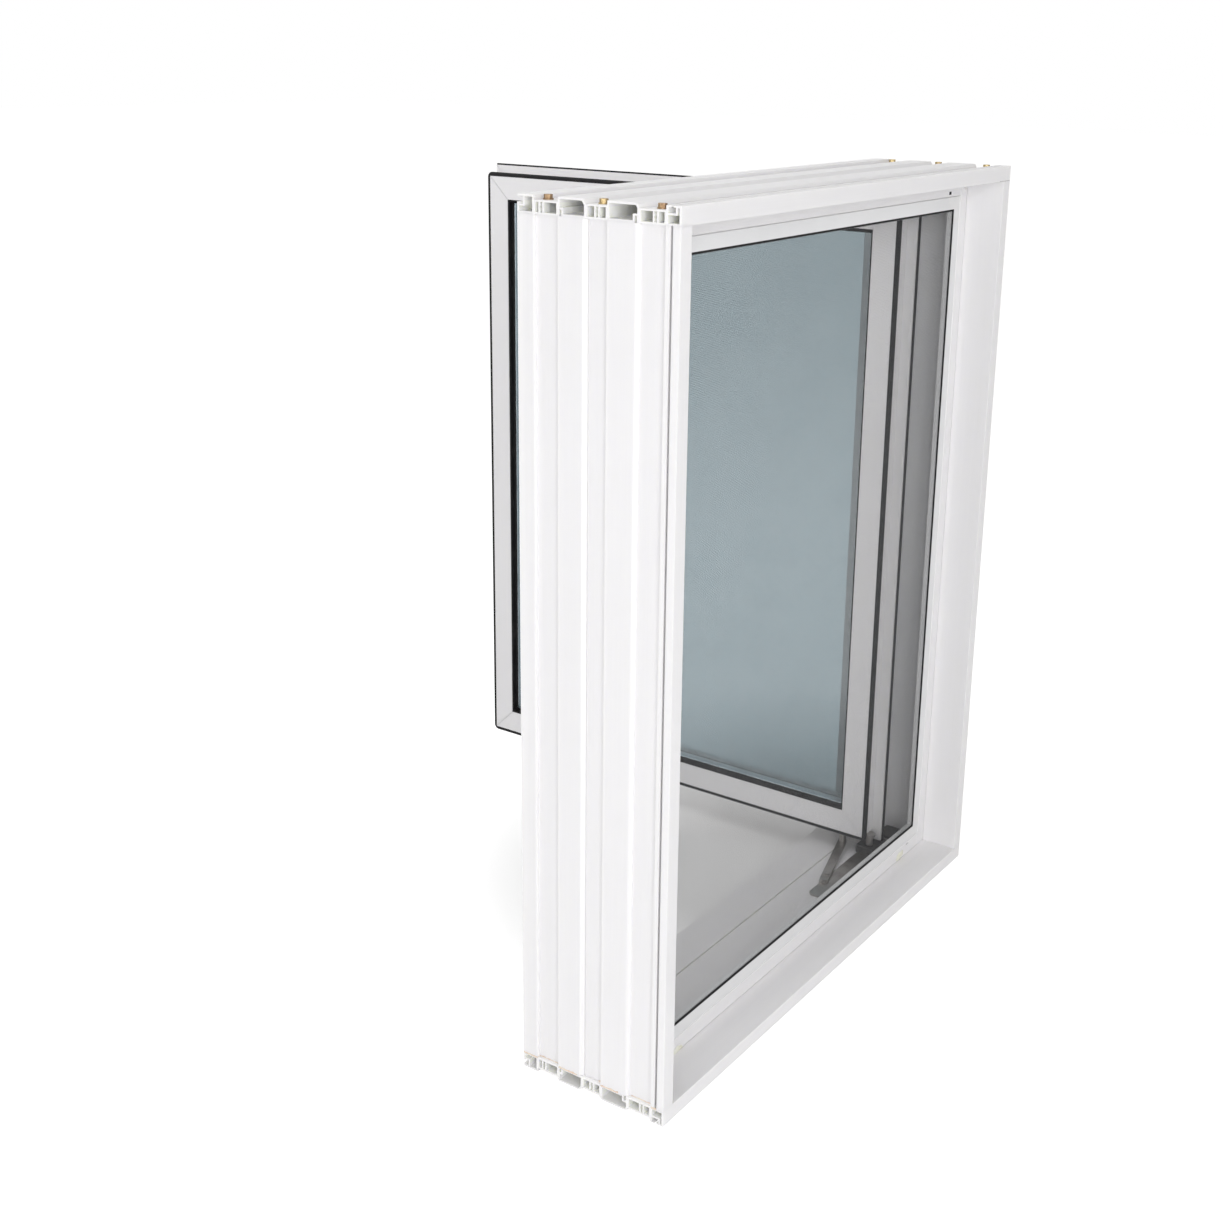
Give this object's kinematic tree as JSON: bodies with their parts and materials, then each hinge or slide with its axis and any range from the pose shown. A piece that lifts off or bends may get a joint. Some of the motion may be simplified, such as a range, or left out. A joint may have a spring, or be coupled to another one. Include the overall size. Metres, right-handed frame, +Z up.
{
  "type": "egress casement window",
  "caption": "Vinyl egress casement window with an insect screen on the room side and an outward hinged sash standing open at a right angle.",
  "frame": {"origin": "on the sill's underside at mid-width, on the raised rib 58 mm behind the room face", "axes": "+Z up, -Y towards the room, +Y outdoors, +X towards the hinged jamb"},
  "size_m": [0.664, 0.6792, 0.8504],
  "materials": {
    "frame_pvc": "smooth white extruded vinyl, satin sheen",
    "stop_pvc": "smooth white extruded vinyl, satin sheen",
    "sash_pvc": "smooth white extruded vinyl, satin sheen",
    "screen_enamel": "white baked enamel on roll-formed metal",
    "screen_corner_plastic": "white moulded plastic",
    "screen_mesh_grey": "fine grey woven insect mesh",
    "black_rubber": "matt black seal",
    "tinted_glass": "clear float glass with a faint blue-grey coating",
    "spacer_grey": "grey spacer bar",
    "hinge_steel": "stamped steel, dull",
    "hinge_plastic": "dark moulded plastic",
    "screw_brass": "yellow-brown plated steel screw"
  },
  "bodies": {
    "root": {"bead_bottom": "sash_pvc", "bead_hinge_side": "sash_pvc", "bead_lock_side": "sash_pvc", "bead_top": "sash_pvc", "bottom_stop": "stop_pvc", "edge_sealant": "black_rubber", "flange_seal": "black_rubber", "glass_spacer": "spacer_grey", "glazing_liner": "black_rubber", "head": "frame_pvc", "head_screws": "screw_brass", "inner_glass": "tinted_glass", "left_jamb": "frame_pvc", "left_stop": "stop_pvc", "lower_end_block": "hinge_plastic", "lower_pins": "hinge_steel", "lower_sash_arm": "hinge_steel", "lower_shoe": "hinge_plastic", "lower_support_arm": "hinge_steel", "lower_track": "hinge_steel", "outer_glass": "tinted_glass", "right_jamb": "frame_pvc", "right_stop": "stop_pvc", "sash_bottom_rail": "sash_pvc", "sash_bulb_seal": "black_rubber", "sash_hinge_stile": "sash_pvc", "sash_lock_stile": "sash_pvc", "sash_top_rail": "sash_pvc", "screen_bottom_bar": "screen_enamel", "screen_corners": "screen_corner_plastic", "screen_left_bar": "screen_enamel", "screen_mesh": "screen_mesh_grey", "screen_right_bar": "screen_enamel", "screen_spline": "black_rubber", "screen_top_bar": "screen_enamel", "sill": "frame_pvc", "sill_screws": "screw_brass", "top_stop": "stop_pvc", "upper_end_block": "hinge_plastic", "upper_pins": "hinge_steel", "upper_sash_arm": "hinge_steel", "upper_shoe": "hinge_plastic", "upper_support_arm": "hinge_steel", "upper_track": "hinge_steel"}
  },
  "joints": []
}
